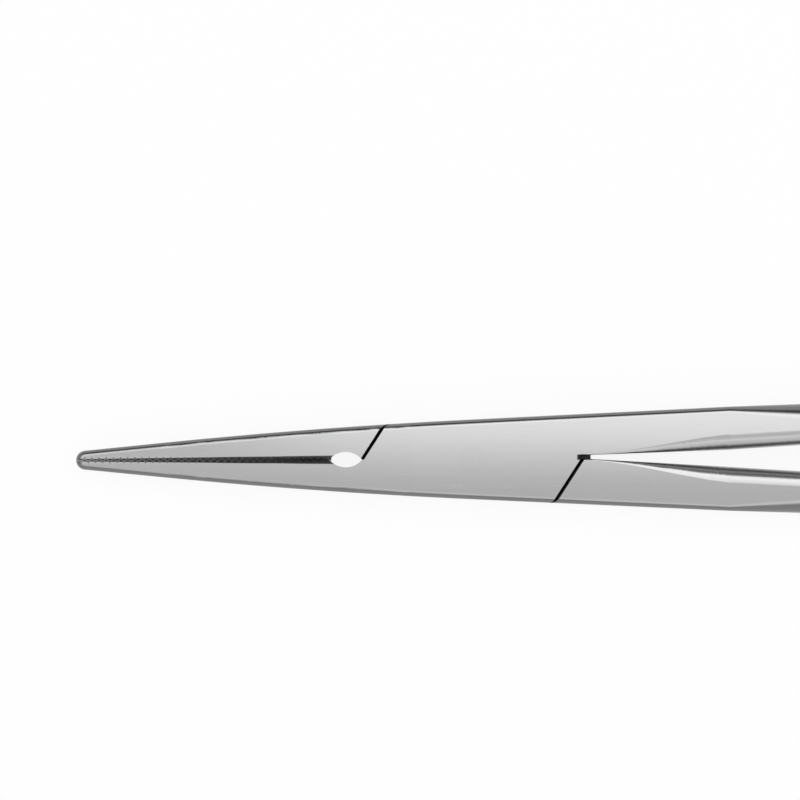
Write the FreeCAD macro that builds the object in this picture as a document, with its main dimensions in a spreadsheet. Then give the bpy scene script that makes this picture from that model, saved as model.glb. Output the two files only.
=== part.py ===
"""Straight ligature forceps with a box lock, finger rings and a ratchet.

Two forged halves turn about one riveted pin. The forceps lie flat on one face: X runs from the jaws
(negative) to the rings (positive), Y across the jaws, Z up through the thickness. The origin is on the
pin axis, in the plane that the lock rests on.
"""
import FreeCAD, Part
import math
import os
import Sketcher

# Driving sizes: millimetres and degrees. Reaches are measured along X from the pin axis.
SIZES = [
    # Working end, jaws closed
    ("tip_reach", 33.1, "pin axis to the tip"),
    ("nose_round", 0.8, "radius of the tip in plan"),
    ("jaw_taper", 7.1, "length of the straight taper behind the tip"),
    ("jaw_bend_width", 2.86, "width over both jaws where that taper begins to curve"),
    ("lock_width", 6.66, "width over the lock at the pin"),
    ("shank_reach", 21.5, "where the lock forging passes into the slender shanks"),
    ("shank_span", 8.7, "width over both shanks there"),
    ("lock_thickness", 3.43, "thickness of the lock"),
    ("tip_thickness", 1.15, "thickness at the tip"),
    ("jaw_face_angle", 3.35, "slope of the jaw faces at the tip"),
    ("flat_front", 5.0, "where the flat faces of the lock begin"),
    ("shank_thickness", 3.26, "thickness where the slender shanks begin"),
    ("edge_round", 0.5, "rounding of the long outer edges"),
    # Jaws
    ("jaw_gap", 0.02, "between the closed working faces"),
    ("tooth_run", 21.0, "length of the serrated faces"),
    ("tooth_start", 0.45, "tip to the first groove"),
    ("tooth_pitch", 0.6, "from groove to groove"),
    ("tooth_depth", 0.26, "depth of a groove"),
    ("tooth_width", 0.46, "width of a groove at the working face"),
    ("bevel_tip", 0.1, "bevel of the working edges at the tip"),
    ("bevel_root", 0.36, "bevel of the working edges at the eye"),
    ("eye_reach", 10.55, "pin axis to the middle of the eye"),
    ("eye_length", 2.75, "length of the eye between the jaws"),
    ("eye_height", 1.3, "height of the eye"),
    # Box lock
    ("seam_reach", 9.2, "pin axis to the seams, on the centre line"),
    ("seam_angle", 57.0, "slope of the seams in plan"),
    ("seam_gap", 0.36, "width of the seams, measured along X"),
    ("seam_slant", 36.0, "lean of the seam walls under the cheeks"),
    ("seam_land", 0.15, "upright land of the cheeks' ends at their outer faces"),
    ("tongue_thickness", 1.5, "thickness of the tongue"),
    ("tongue_clearance", 0.03, "running clearance on each face of the tongue"),
    ("tongue_front_reach", 9.25, "pin axis to the front end of the tongue, on the centre line"),
    ("tongue_rear_reach", 9.9, "pin axis to the rear end of the tongue, on the centre line"),
    ("tongue_end_angle", 60.0, "slope of the tongue's ends in plan"),
    ("tongue_end_gap", 0.42, "between the tongue's ends and the ends of the slot, along X"),
    ("crotch_reach", 9.75, "pin axis to the bottom of the crotch"),
    ("crotch_rise", 0.18, "crotch above the centre line"),
    ("crotch_gap", 0.34, "width of the crotch"),
    ("upper_gap", 0.74, "upper shank above the centre line, at shank_reach"),
    ("lower_gap", 0.68, "lower shank below the centre line, at shank_reach"),
    ("inner_round_start", 0.08, "rounding of the shanks' inner edges at the crotch"),
    ("inner_round", 1.3, "rounding of the shanks' inner edges at shank_reach"),
    # Pin
    ("pin_diameter", 2.0, "pivot pin"),
    ("pin_flare", 0.22, "rivet flare at both ends of the pin"),
    ("pin_clearance", 0.03, "radial running clearance of the tongue on the pin"),
    # Shanks and finger rings
    ("shank_spread", 2.2, "how far a shank leans outward, before its bow"),
    ("shank_slim", 0.75, "how much narrower a shank gets towards the ring"),
    ("shank_thin", 0.4, "how much thinner a shank gets towards the ring"),
    ("shank_round", 1.25, "rounding of the slender shank's edges"),
    ("root_inset", 10.3, "ring's centre back to the end of the shank, along the forceps"),
    ("root_aside", 4.6, "ring's centre in to the end of the shank, across the forceps"),
    ("root_flare", 1.1, "how much wider a shank gets where it joins the ring"),
    ("ring_reach", 78.8, "pin axis to the ring's centre"),
    ("ring_offset", 13.1, "ring's centre from the centre line"),
    ("ring_length", 23.2, "length of the ring, between the middles of its band"),
    ("ring_width", 19.6, "width of the ring, between the middles of its band"),
    ("ring_end_round", 8.9, "radius of the ring's ends"),
    ("ring_tilt", 8.0, "outward turn of the ring"),
    ("band_width", 3.1, "width of the ring's band"),
    ("band_thickness", 2.9, "thickness of the ring's band"),
    # Ratchet
    ("ratchet_reach", 57.0, "pin axis to the middle of the ratchet bars"),
    ("ratchet_length", 4.2, "length of a ratchet bar along the shank"),
    ("ratchet_thickness", 1.72, "thickness of a ratchet bar"),
    ("ratchet_gap", 0.24, "between the ends of the bars, jaws closed"),
    ("ratchet_pitch", 1.05, "from tooth to tooth"),
    ("ratchet_depth", 0.42, "depth of a tooth"),
    ("ratchet_teeth", 3, "teeth on each bar"),
    ("ratchet_land", 0.25, "flat at the end of a bar"),
    ("ratchet_lean", 0.12, "lean of the holding face of a tooth"),
    ("ratchet_face", 1.5, "outer face of a ratchet bar from the middle plane"),
    ("ratchet_root", 6.0, "root of a ratchet bar from the centre line, inside the shank"),
]

BEYOND = 3.0  # how far a cutting outline runs past the metal it cuts
NOSE_MARGIN = 0.3  # how far the side profile runs past the tip
BEVEL_MARGIN = 0.4  # how far a bevel's cutting section runs past the edge
BAND_SIDES = 12  # narrow flats round the ring's band
STATIONS = (0.14, 0.29, 0.44, 0.58, 0.71, 0.83, 1.0)  # a shank's sections, as shares of its length

doc = FreeCAD.newDocument("ligature_forceps")
sheet = doc.addObject("Spreadsheet::Sheet", "Sizes")
for row, (alias, number, meaning) in enumerate(SIZES, start=1):
    sheet.set(f"A{row}", meaning)
    sheet.set(f"B{row}", str(number))
    sheet.setAlias(f"B{row}", alias)
doc.recompute()

HALF = "Sizes.lock_thickness / 2"
TONGUE_HALF = "Sizes.tongue_thickness / 2"
SLOT_HALF = "(Sizes.tongue_thickness / 2 + Sizes.tongue_clearance)"
SHOULDER_LEAN = f"(({HALF} - {TONGUE_HALF}) * tan(Sizes.seam_slant))"


def value(expression):
    """What an expression of the sheet's sizes comes to now."""
    return float(sheet.evalExpression(expression))


def origin_plane(body, role):
    """One of a body's own origin planes."""
    return next(item for item in body.Origin.OriginFeatures if item.Role == role)


def new_body(label, base=None):
    """A body drawn about the middle plane of the forceps, empty or built on the shape of a base."""
    body = doc.addObject("PartDesign::Body", label)
    body.Label = label
    if base:
        body.BaseFeature = base
    doc.recompute()
    return body


def new_sketch(body, name, role, height="0"):
    """A sketch on an origin plane, raised along that plane's normal."""
    sketch = body.newObject("Sketcher::SketchObject", name)
    sketch.AttachmentSupport = (origin_plane(body, role), [""])
    sketch.MapMode = "FlatFace"
    sketch.setExpression("AttachmentOffset.Base.z", height)
    return sketch


def fix(sketch, kind, references, expression):
    """A constraint whose size is an expression of the sheet."""
    index = sketch.addConstraint(Sketcher.Constraint(kind, *references, value(expression)))
    sketch.setExpression(f"Constraints[{index}]", expression)


def place(sketch, curve, end, corner):
    """Puts one end of a curve at a corner given by two expressions."""
    fix(sketch, "DistanceX", (-1, 1, curve, end), corner[0])
    fix(sketch, "DistanceY", (-1, 1, curve, end), corner[1])


def draw(sketch, corners, rounds=None):
    """A closed outline through corners given as pairs of expressions.

    rounds maps the number of a side to (radius expression, turn): that side is an arc with its centre
    to the left of the walk for a turn of 1, to the right for -1.
    """
    rounds = rounds or {}
    spots = [FreeCAD.Vector(value(across), value(up), 0) for across, up in corners]
    for number, corner in enumerate(corners):
        start = spots[number]
        stop = spots[(number + 1) % len(spots)]
        if number not in rounds:
            curve = sketch.addGeometry(Part.LineSegment(start, stop), False)
            place(sketch, curve, 1, corner)
            place(sketch, curve, 2, corners[(number + 1) % len(corners)])
            continue
        radius, turn = rounds[number]
        chord = stop - start
        size = value(radius)
        rise = math.sqrt(max(size * size - chord.Length * chord.Length / 4, 0))
        left = FreeCAD.Vector(-chord.y, chord.x, 0).normalize()
        centre = (start + stop) / 2 + left * (turn * rise)
        summit = centre - left * (turn * size)
        curve = sketch.addGeometry(Part.Arc(start, summit, stop), False)
        near = sketch.getPoint(curve, 1)
        first = 1 if (near - start).Length < (near - stop).Length else 2
        place(sketch, curve, first, corner)
        place(sketch, curve, 3 - first, corners[(number + 1) % len(corners)])
        fix(sketch, "Radius", (curve,), radius)


def add(body, kind, name, sketch, **settings):
    """A sketch-based feature, with text settings bound as expressions."""
    feature = body.newObject(kind, name)
    feature.Profile = sketch
    for key, setting in settings.items():
        if isinstance(setting, str) and key not in ("Type", "SideType"):
            feature.setExpression(key, setting)
        else:
            setattr(feature, key, setting)
    doc.recompute()
    return feature


# Lines of the lock that several pieces share, as expressions.
def seam(side, offset, up):
    """X of a seam at a height above the centre line; side is -1 in front, 1 behind."""
    return f"{side} * Sizes.seam_reach + ({offset}) + ({up}) / tan(Sizes.seam_angle)"


def tongue_end(side, offset, up):
    """X of a tongue end at a height above the centre line."""
    reach = "Sizes.tongue_front_reach" if side < 0 else "Sizes.tongue_rear_reach"
    return f"{side} * ({reach} + ({offset})) - ({up}) / tan(Sizes.tongue_end_angle)"


JAW_BEND = "(Sizes.tip_reach - Sizes.jaw_taper)"
OUTSIDE = "(Sizes.lock_width + Sizes.shank_span) / 2"
FRONT = f"-(Sizes.tip_reach + {BEYOND})"
REAR = f"Sizes.shank_reach + {BEYOND}"


# The jaw faces: a straight slope from the tip, then one long curve that meets the flat of the lock.
KNEE = "(Sizes.tip_reach - (Sizes.lock_thickness - Sizes.tip_thickness) / 2 / tan(Sizes.jaw_face_angle))"
TANGENT = f"({KNEE} - Sizes.flat_front)"
FACE_CURVE = f"({TANGENT} / tan(Sizes.jaw_face_angle / 2))"


def face_bend():
    """Where the slope of the jaw face passes into its long curve."""
    return (f"-({KNEE} + {TANGENT} * cos(Sizes.jaw_face_angle))",
            f"({HALF} - {TANGENT} * sin(Sizes.jaw_face_angle))")


def closed_blank(body):
    """Both halves as one closed forging: side profile, plan outline, rounded edges, crotch."""
    bend_x, bend_z = face_bend()
    tip_half = f"(Sizes.tip_thickness / 2 - {NOSE_MARGIN} * tan(Sizes.jaw_face_angle))"
    nose = f"-(Sizes.tip_reach + {NOSE_MARGIN})"
    rear_half = "Sizes.shank_thickness / 2"
    profile = new_sketch(body, "side_profile", "XZ_Plane")
    draw(profile, [
        (nose, f"-{tip_half}"),
        (bend_x, f"-{bend_z}"),
        ("-Sizes.flat_front", f"-{HALF}"),
        ("Sizes.crotch_reach", f"-{HALF}"),
        ("Sizes.shank_reach", f"-{rear_half}"),
        ("Sizes.shank_reach", rear_half),
        ("Sizes.crotch_reach", HALF),
        ("-Sizes.flat_front", HALF),
        (bend_x, bend_z),
        (nose, tip_half),
    ], {
        1: (FACE_CURVE, 1),
        7: (FACE_CURVE, 1),
    })
    add(body, "PartDesign::Pad", "side_blank", profile,
        Length=f"2 * {OUTSIDE}", SideType="Symmetric")

    plan = new_sketch(body, "plan_outline", "XY_Plane")
    draw(plan, [(FRONT, f"-{OUTSIDE} * 2"), (REAR, f"-{OUTSIDE} * 2"),
                (REAR, f"{OUTSIDE} * 2"), (FRONT, f"{OUTSIDE} * 2")])
    closed_outline(plan)
    cut = add(body, "PartDesign::Pocket", "plan_cut", plan, Type="ThroughAll", SideType="Symmetric")

    edges = [f"Edge{number}" for number, edge in enumerate(cut.Shape.Edges, start=1)
             if edge.BoundBox.XLength > 0.1]
    rounding = body.newObject("PartDesign::Fillet", "outer_edges")
    rounding.Base = (cut, edges)
    rounding.setExpression("Radius", "min(Sizes.edge_round; 0.45 * Sizes.tip_thickness)")
    doc.recompute()

    gap = new_sketch(body, "crotch_gap", "XY_Plane")
    low = "(Sizes.crotch_rise - Sizes.crotch_gap / 2)"
    high = "(Sizes.crotch_rise + Sizes.crotch_gap / 2)"
    run = "(Sizes.shank_reach - Sizes.crotch_reach)"
    low_end = f"(-Sizes.lower_gap - (Sizes.lower_gap + {low}) / {run})"
    high_end = f"(Sizes.upper_gap + (Sizes.upper_gap - {high}) / {run})"
    draw(gap, [
        ("Sizes.crotch_reach", high),
        ("Sizes.crotch_reach", low),
        ("Sizes.shank_reach + 1", low_end),
        ("Sizes.shank_reach + 1", high_end),
    ], {0: ("Sizes.crotch_gap / 2", 1)})
    add(body, "PartDesign::Pocket", "crotch", gap, Type="ThroughAll", SideType="Symmetric")


def closed_outline(sketch):
    """Plan of the closed forceps: nose, straight tapers, long curves, straight flanks."""
    centre = "(Sizes.tip_reach - Sizes.nose_round)"
    aside = "(Sizes.jaw_taper - Sizes.nose_round)"
    half_bend = "(Sizes.jaw_bend_width / 2)"
    half_lock = "(Sizes.lock_width / 2)"
    around = f"(atan2({half_bend}; {aside}) + acos(Sizes.nose_round / hypot({aside}; {half_bend})))"
    touch_x = f"(-{centre} + Sizes.nose_round * cos({around}))"
    touch_y = f"(Sizes.nose_round * sin({around}))"
    rise = f"({half_lock} - {half_bend})"
    chord = f"hypot({JAW_BEND}; {rise})"
    turn = f"({around} - 90 deg - atan2({rise}; {JAW_BEND}))"
    flank = f"({chord} / (2 * sin({turn})))"
    end = "(Sizes.shank_span / 2 + (Sizes.shank_span - Sizes.lock_width) / 2 / Sizes.shank_reach)"
    draw(sketch, [
        (touch_x, f"-{touch_y}"),
        (f"-{JAW_BEND}", f"-{half_bend}"),
        ("0", f"-{half_lock}"),
        ("Sizes.shank_reach + 1", f"-{end}"),
        ("Sizes.shank_reach + 1", end),
        ("0", half_lock),
        (f"-{JAW_BEND}", half_bend),
        (touch_x, touch_y),
    ], {1: (flank, 1), 5: (flank, 1), 7: ("Sizes.nose_round", 1)})


def mirror(body, name, feature):
    """Repeats a feature on the other side of the middle plane."""
    mirrored = body.newObject("PartDesign::Mirrored", name)
    mirrored.Originals = [feature]
    mirrored.MirrorPlane = (origin_plane(body, "XY_Plane"), [""])
    body.Tip = mirrored
    doc.recompute()


def cut_eye(body):
    """The eye between jaws and lock, a lens of two arcs."""
    sketch = new_sketch(body, "eye", "XY_Plane")
    span = "Sizes.eye_length"
    rise = "Sizes.eye_height / 2"
    radius = f"(({span} * {span} / 4 + {rise} * {rise}) / Sizes.eye_height)"
    draw(sketch, [
        ("-(Sizes.eye_reach + Sizes.eye_length / 2)", "0"),
        ("-(Sizes.eye_reach - Sizes.eye_length / 2)", "0"),
    ], {0: (radius, 1), 1: (radius, 1)})
    add(body, "PartDesign::Pocket", "eye_cut", sketch, Type="ThroughAll", SideType="Symmetric")


def jaw_bevel(body, side):
    """Bevels the working edges of a jaw, wider from the tip to the eye; side is -1 for the lower jaw."""
    bend_x, bend_z = face_bend()
    slope_start = f"Sizes.tip_thickness / 2 - {NOSE_MARGIN} * tan(Sizes.jaw_face_angle)"
    middle_x = f"(({bend_x} - Sizes.eye_reach) / 2)"
    stations = [
        (f"-(Sizes.tip_reach + {NOSE_MARGIN})", f"({slope_start})"),
        (bend_x, bend_z),
        (middle_x, face_height(middle_x)),
        ("-Sizes.eye_reach", face_height("-Sizes.eye_reach")),
    ]
    sections = []
    for number, (reach, height) in enumerate(stations):
        grown = f"(({reach} + Sizes.tip_reach) / (Sizes.tip_reach - Sizes.eye_reach))"
        bevel = f"(Sizes.bevel_tip + (Sizes.bevel_root - Sizes.bevel_tip) * {grown})"
        section = new_sketch(body, f"bevel_section_{number}", "YZ_Plane", reach)
        draw(section, [
            (f"{side} * ({bevel} + {BEVEL_MARGIN})", f"{height} + {BEVEL_MARGIN}"),
            (f"{side} * -{BEVEL_MARGIN}", f"{height} - {bevel} - {BEVEL_MARGIN}"),
            (f"{side} * -{BEVEL_MARGIN}", f"{height} + {BEVEL_MARGIN}"),
        ])
        sections.append(section)
    doc.recompute()
    bevel_cut = body.newObject("PartDesign::SubtractiveLoft", "working_edge_bevel")
    bevel_cut.Profile = sections[0]
    bevel_cut.Sections = sections[1:]
    bevel_cut.Ruled = True
    doc.recompute()
    mirror(body, "lower_edge_bevel", bevel_cut)


def face_height(reach):
    """Half thickness of the jaw on its long curve."""
    away = f"({reach} + Sizes.flat_front)"
    return f"({HALF} - {FACE_CURVE} + sqrt({FACE_CURVE} * {FACE_CURVE} - {away} * {away}))"


def jaw_teeth(body, side, stagger):
    """Cross serrations: one groove, repeated along the jaw; stagger sets the jaws half a pitch apart."""
    groove = new_sketch(body, "groove", "XY_Plane")
    middle = f"(-(Sizes.tip_reach - Sizes.tooth_start) + {stagger} * Sizes.tooth_pitch)"
    left = f"({middle} - Sizes.tooth_width / 2)"
    right = f"({middle} + Sizes.tooth_width / 2)"
    face = f"{side} * Sizes.jaw_gap / 2"
    past = f"{side} * -{NOSE_MARGIN}"
    draw(groove, [
        (left, past),
        (right, past),
        (right, face),
        (middle, f"{side} * (Sizes.jaw_gap / 2 + Sizes.tooth_depth)"),
        (left, face),
    ])
    cut = add(body, "PartDesign::Pocket", "groove_cut", groove, Type="ThroughAll", SideType="Symmetric")
    row = body.newObject("PartDesign::LinearPattern", "serrations")
    row.Originals = [cut]
    row.Direction = (origin_plane(body, "X_Axis"), [""])
    count = "floor(Sizes.tooth_run / Sizes.tooth_pitch)"
    row.setExpression("Length", f"({count} - 1) * Sizes.tooth_pitch")
    row.setExpression("Occurrences", count)
    body.Tip = row
    doc.recompute()


def bore(body, diameter):
    """A round hole on the pin axis."""
    sketch = new_sketch(body, "bore", "XY_Plane")
    circle = sketch.addGeometry(Part.Circle(FreeCAD.Vector(), FreeCAD.Vector(0, 0, 1),
                                            value(diameter) / 2), False)
    sketch.addConstraint(Sketcher.Constraint("Coincident", circle, 3, -1, 1))
    fix(sketch, "Radius", (circle,), f"{diameter} / 2")
    return add(body, "PartDesign::Pocket", "pin_bore", sketch, Type="ThroughAll", SideType="Symmetric")


def crotch_slot(sketch):
    """The rounded end that joins the rear seam to the gap between the shanks."""
    start = seam(1, "-Sizes.seam_gap / 2", "Sizes.crotch_rise")
    low = "Sizes.crotch_rise - Sizes.crotch_gap / 2"
    high = "Sizes.crotch_rise + Sizes.crotch_gap / 2"
    draw(sketch, [
        (start, high),
        (start, low),
        ("Sizes.crotch_reach", low),
        ("Sizes.crotch_reach", high),
    ], {0: ("Sizes.crotch_gap / 2", 1)})


def build_female():
    """Box half: lower jaw, slotted box, upper shank."""
    body = new_body("female_lock")
    closed_blank(body)
    half_gap = "Sizes.seam_gap / 2"
    face = "-Sizes.jaw_gap / 2"

    above = new_sketch(body, "upper_jaw_space", "XY_Plane")
    draw(above, [
        (seam(-1, half_gap, face), face),
        (seam(-1, half_gap, OUTSIDE), OUTSIDE),
        (FRONT, OUTSIDE),
        (FRONT, face),
    ])
    add(body, "PartDesign::Pocket", "upper_jaw_cut", above, Type="ThroughAll", SideType="Symmetric")

    below = new_sketch(body, "lower_shank_space", "XY_Plane")
    draw(below, [
        (seam(1, f"-{half_gap}", "Sizes.crotch_rise"), "Sizes.crotch_rise"),
        (seam(1, f"-{half_gap}", f"-{OUTSIDE}"), f"-{OUTSIDE}"),
        (REAR, f"-{OUTSIDE}"),
        (REAR, "0"),
    ])
    add(body, "PartDesign::Pocket", "lower_shank_cut", below, Type="ThroughAll", SideType="Symmetric")

    rounded = new_sketch(body, "crotch_slot", "XY_Plane")
    crotch_slot(rounded)
    add(body, "PartDesign::Pocket", "crotch_slot_cut", rounded, Type="ThroughAll", SideType="Symmetric")
    cut_eye(body)

    slot = new_sketch(body, "slot", "XY_Plane")
    end_gap = "Sizes.tongue_end_gap"
    draw(slot, [
        (tongue_end(-1, end_gap, f"-{OUTSIDE}"), f"-{OUTSIDE}"),
        (tongue_end(1, end_gap, "0"), f"-{OUTSIDE}"),
        (tongue_end(1, end_gap, "0"), "0"),
        (tongue_end(1, end_gap, OUTSIDE), OUTSIDE),
        (tongue_end(-1, end_gap, "0"), OUTSIDE),
        (tongue_end(-1, end_gap, "0"), "0"),
    ])
    add(body, "PartDesign::Pocket", "slot_cut", slot, Length=f"2 * {SLOT_HALF}", SideType="Symmetric")

    slant_under_cheek(body, -1, seam(-1, half_gap, "0"), "0")
    slant_under_cheek(body, 1, seam(1, f"-{half_gap}", "Sizes.crotch_rise"), "Sizes.crotch_rise")

    hole = bore(body, "Sizes.pin_diameter")
    rims = [f"Edge{number}" for number, edge in enumerate(hole.Shape.Edges, start=1)
            if edge.BoundBox.ZLength < 1e-6 and abs(abs(edge.BoundBox.ZMax) - value(HALF)) < 1e-6
            and edge.BoundBox.XLength < value("Sizes.pin_diameter") * 1.1
            and edge.BoundBox.Center.Length < value("Sizes.lock_thickness")
            and edge.Curve.TypeId == "Part::GeomCircle"]
    flare = body.newObject("PartDesign::Chamfer", "rivet_seats")
    flare.Base = (hole, rims)
    flare.setExpression("Size", "Sizes.pin_flare")
    doc.recompute()
    jaw_bevel(body, -1)
    jaw_teeth(body, -1, 0)
    return body


def cut_along_seam(body, side, start_x, start_y, outline):
    """Cuts a profile along a seam, away from the centre line; side is -1 for the front seam."""
    sketch = body.newObject("Sketcher::SketchObject", "seam_profile")
    sketch.AttachmentSupport = (origin_plane(body, "XZ_Plane"), [""])
    sketch.MapMode = "FlatFace"
    sketch.AttachmentOffset = FreeCAD.Placement(
        FreeCAD.Vector(), FreeCAD.Rotation(FreeCAD.Vector(0, -1, 0), 1))
    sketch.setExpression("AttachmentOffset.Base.x", start_x)
    sketch.setExpression("AttachmentOffset.Base.z", f"-({start_y})")
    sketch.setExpression("AttachmentOffset.Rotation.Angle", "90 - Sizes.seam_angle")
    draw(sketch, outline)
    return add(body, "PartDesign::Pocket", "seam_wall_cut", sketch, Length=OUTSIDE, Reversed=side > 0)


def slant_under_cheek(body, side, start_x, start_y):
    """Leans the end wall of both cheeks, so that they reach furthest at their outer faces."""
    lean = f"{-side} * {HALF} * tan(Sizes.seam_slant)"
    land = f"({HALF} - Sizes.seam_land)"
    cut_along_seam(body, side, start_x, start_y, [
        (f"{side} * {NOSE_MARGIN}", f"-{land}"),
        ("0", f"-{land}"),
        (lean, "0"),
        ("0", land),
        (f"{side} * {NOSE_MARGIN}", land),
    ])


def slant_shoulder(body, side, start_x, start_y):
    """Leans the shoulder that faces the end wall of a cheek, above and below the tongue."""
    across = f"{-side} * {SHOULDER_LEAN}"
    past = f"{side} * {BEVEL_MARGIN} * tan(Sizes.seam_slant)"
    cut = cut_along_seam(body, side, start_x, start_y, [
        (past, f"{HALF} + {BEVEL_MARGIN}"),
        (across, TONGUE_HALF),
        (f"{across} - {side} * {BEVEL_MARGIN}", f"{HALF} + {BEVEL_MARGIN}"),
    ])
    mirror(body, "seam_wall_below", cut)


def build_male():
    """Tongue half: upper jaw, tongue through the box, lower shank."""
    body = new_body("male_lock")
    closed_blank(body)
    half_gap = "Sizes.seam_gap / 2"
    face = "Sizes.jaw_gap / 2"

    below = new_sketch(body, "lower_jaw_space", "XY_Plane")
    draw(below, [
        (FRONT, face),
        (FRONT, f"-{OUTSIDE}"),
        (tongue_end(-1, "0", f"-{OUTSIDE}"), f"-{OUTSIDE}"),
        (tongue_end(-1, "0", face), face),
    ])
    add(body, "PartDesign::Pocket", "lower_jaw_cut", below, Type="ThroughAll", SideType="Symmetric")

    above = new_sketch(body, "upper_shank_space", "XY_Plane")
    draw(above, [
        (tongue_end(1, "0", "Sizes.crotch_rise"), "Sizes.crotch_rise"),
        (REAR, "0"),
        (REAR, OUTSIDE),
        (tongue_end(1, "0", OUTSIDE), OUTSIDE),
    ])
    add(body, "PartDesign::Pocket", "upper_shank_cut", above, Type="ThroughAll", SideType="Symmetric")
    cut_eye(body)

    depth = f"({HALF} - {TONGUE_HALF})"
    rounded = new_sketch(body, "crotch_slot", "XY_Plane", HALF)
    crotch_slot(rounded)
    slot_cut = add(body, "PartDesign::Pocket", "crotch_slot_cut", rounded, Length=depth)
    mirror(body, "crotch_slot_below", slot_cut)

    front_wall = f"{SHOULDER_LEAN} - {half_gap}"
    rear_wall = f"{half_gap} - {SHOULDER_LEAN}"
    past_end = f"({{side}} * (Sizes.tongue_rear_reach + {BEYOND}))".format
    recess = new_sketch(body, "cheek_recess", "XY_Plane", HALF)
    draw(recess, [
        (past_end(side=-1), f"-{OUTSIDE}"),
        (seam(1, rear_wall, f"-{OUTSIDE}"), f"-{OUTSIDE}"),
        (seam(1, rear_wall, "Sizes.crotch_rise"), "Sizes.crotch_rise"),
        (past_end(side=1), "Sizes.crotch_rise"),
        (past_end(side=1), OUTSIDE),
        (seam(-1, front_wall, OUTSIDE), OUTSIDE),
        (seam(-1, front_wall, face), face),
        (past_end(side=-1), face),
    ])
    recess_cut = add(body, "PartDesign::Pocket", "cheek_recess_cut", recess, Length=depth)
    mirror(body, "cheek_recess_below", recess_cut)
    slant_shoulder(body, -1, seam(-1, f"-{half_gap}", "0"), "0")
    slant_shoulder(body, 1, seam(1, half_gap, "Sizes.crotch_rise"), "Sizes.crotch_rise")
    bore(body, "(Sizes.pin_diameter + 2 * Sizes.pin_clearance)")
    jaw_bevel(body, 1)
    jaw_teeth(body, 1, 0.5)
    return body


def round_inner_edges(label, lock, side):
    """Rounds the inner edges of a shank, from almost sharp at the crotch to a wide round behind."""
    rounding = doc.addObject("Part::Fillet", label)
    rounding.Base = lock
    crotch = value("Sizes.crotch_reach")
    inner_face = value("Sizes.upper_gap + Sizes.lower_gap")
    small = value("Sizes.inner_round_start")
    large = value("Sizes.inner_round")
    edges = []
    for number, edge in enumerate(lock.Shape.Edges, start=1):
        box = edge.BoundBox
        along_shank = box.XMin > crotch - 0.01 and box.XLength > (value("Sizes.shank_reach") - crotch) / 2
        if along_shank and side * box.Center.y < inner_face:
            starts_at_crotch = edge.Vertexes[0].Point.x < edge.Vertexes[1].Point.x
            radii = (small, large) if starts_at_crotch else (large, small)
            edges.append((number, *radii))
    rounding.Edges = edges
    doc.recompute()
    return rounding


def station(body, side, share):
    """A cross-section of a shank at a share of its length: a bar with rounded edges."""
    run = "(Sizes.ring_reach - Sizes.root_inset - Sizes.shank_reach)"
    sketch = new_sketch(body, "shank_section", "YZ_Plane", f"Sizes.shank_reach + {share} * {run}")
    gap = "Sizes.upper_gap" if side > 0 else "Sizes.lower_gap"
    start = f"(Sizes.shank_span / 4 + {gap} / 2)"
    bow = f"(Sizes.ring_offset - Sizes.root_aside - {start} - Sizes.shank_spread)"
    middle = f"({start} + Sizes.shank_spread * {share} + {bow} * {share} ^ 3)"
    slimmed = f"Sizes.shank_slim * {share} * (2 - {share})"
    flared = "Sizes.root_flare" if share == STATIONS[-1] else "0"
    half_width = f"((Sizes.shank_span / 2 - {gap} - {slimmed} + {flared}) / 2)"
    half = f"((Sizes.shank_thickness - Sizes.shank_thin * {share}) / 2)"
    turn = f"min(Sizes.shank_round; 0.9 * {half})"
    inner = f"({middle} - {half_width})"
    outer = f"({middle} + {half_width})"
    corners = [
        (f"{inner} + {turn}", f"-{half}"),
        (f"{outer} - {turn}", f"-{half}"),
        (outer, f"{turn} - {half}"),
        (outer, f"{half} - {turn}"),
        (f"{outer} - {turn}", half),
        (f"{inner} + {turn}", half),
        (inner, f"{half} - {turn}"),
        (inner, f"{turn} - {half}"),
    ]
    rounds = {1: (turn, side), 3: (turn, side), 5: (turn, side), 7: (turn, side)}
    draw(sketch, [(f"{side} * ({across})", up) for across, up in corners], rounds)
    return sketch


def shank(body, side):
    """The slender shank, from the end face of the lock forging to the band of the finger ring."""
    lock = body.BaseFeature
    start = body.Group[0]
    reach = value("Sizes.shank_reach")
    end_face = [f"Face{number}" for number, face in enumerate(lock.Shape.Faces, start=1)
                if face.BoundBox.XLength < 1e-6 and abs(face.CenterOfMass.x - reach) < 1e-6]
    sections = [station(body, side, share) for share in STATIONS]
    doc.recompute()
    loft = body.newObject("PartDesign::AdditiveLoft", "shank")
    loft.Profile = (start, end_face)
    loft.Sections = sections
    loft.Ruled = True
    doc.recompute()


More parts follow.
